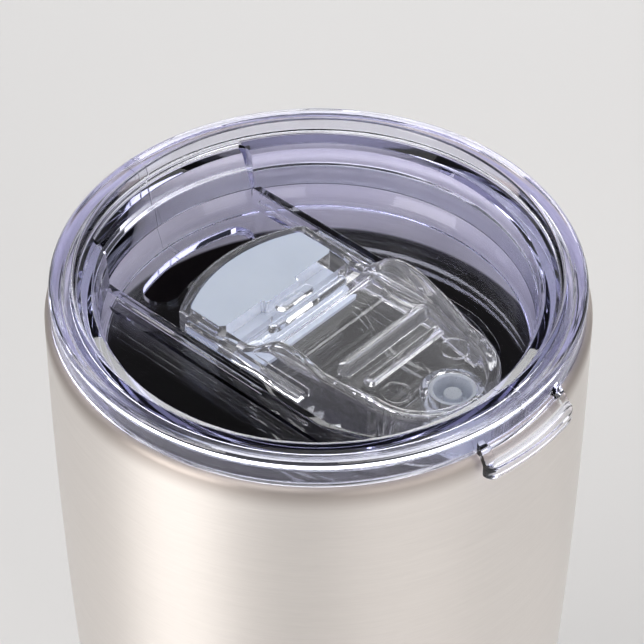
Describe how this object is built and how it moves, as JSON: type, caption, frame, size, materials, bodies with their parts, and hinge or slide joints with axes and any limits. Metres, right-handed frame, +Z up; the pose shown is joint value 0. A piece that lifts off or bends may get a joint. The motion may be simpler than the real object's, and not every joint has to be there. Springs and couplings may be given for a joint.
{
  "type": "insulated tumbler with lid",
  "caption": "Vacuum-insulated brushed steel tumbler with a clear press-in lid, a sliding drink-slot closure, silicone seals and a lifting tab.",
  "frame": {"origin": "middle of the foot, on the table, on the cup's axis", "axes": "+Z up the cup's axis, -X towards the drink slot, +X towards the thumb tab"},
  "size_m": [0.091, 0.0882, 0.1737],
  "materials": {
    "brushed_shell": "brushed round the cup",
    "satin_liner": "satin",
    "plain_steel": "satin",
    "solder_glass": "fused glass bead",
    "getter": "pressed powder",
    "clear_lid": "clear moulded copolyester",
    "clear_silicone": "translucent",
    "clear_slider": "clear moulded copolyester",
    "grey_silicone": "matte",
    "frosted_silicone": "frosted"
  },
  "bodies": {
    "cup": {"outer_shell": "brushed_shell", "inner_liner": "satin_liner", "base_pan": "plain_steel", "evacuation_bead": "solder_glass", "getter_cup": "plain_steel", "getter_pellet": "getter", "base_cap": "plain_steel"},
    "lid": {"lid_shell": "clear_lid", "lid_gasket": "clear_silicone"},
    "closure": {"slider": "clear_slider", "slot_seal": "grey_silicone", "vent_plug": "frosted_silicone"}
  },
  "joints": [
    {"name": "lid_lift", "type": "slide", "parent": "cup", "child": "lid", "axis": [0, 0, 1], "range_m": [0, 0.03]},
    {"name": "slider_slide", "type": "slide", "parent": "lid", "child": "closure", "axis": [-1, 0, 0], "range_m": [0, 0.012]}
  ]
}
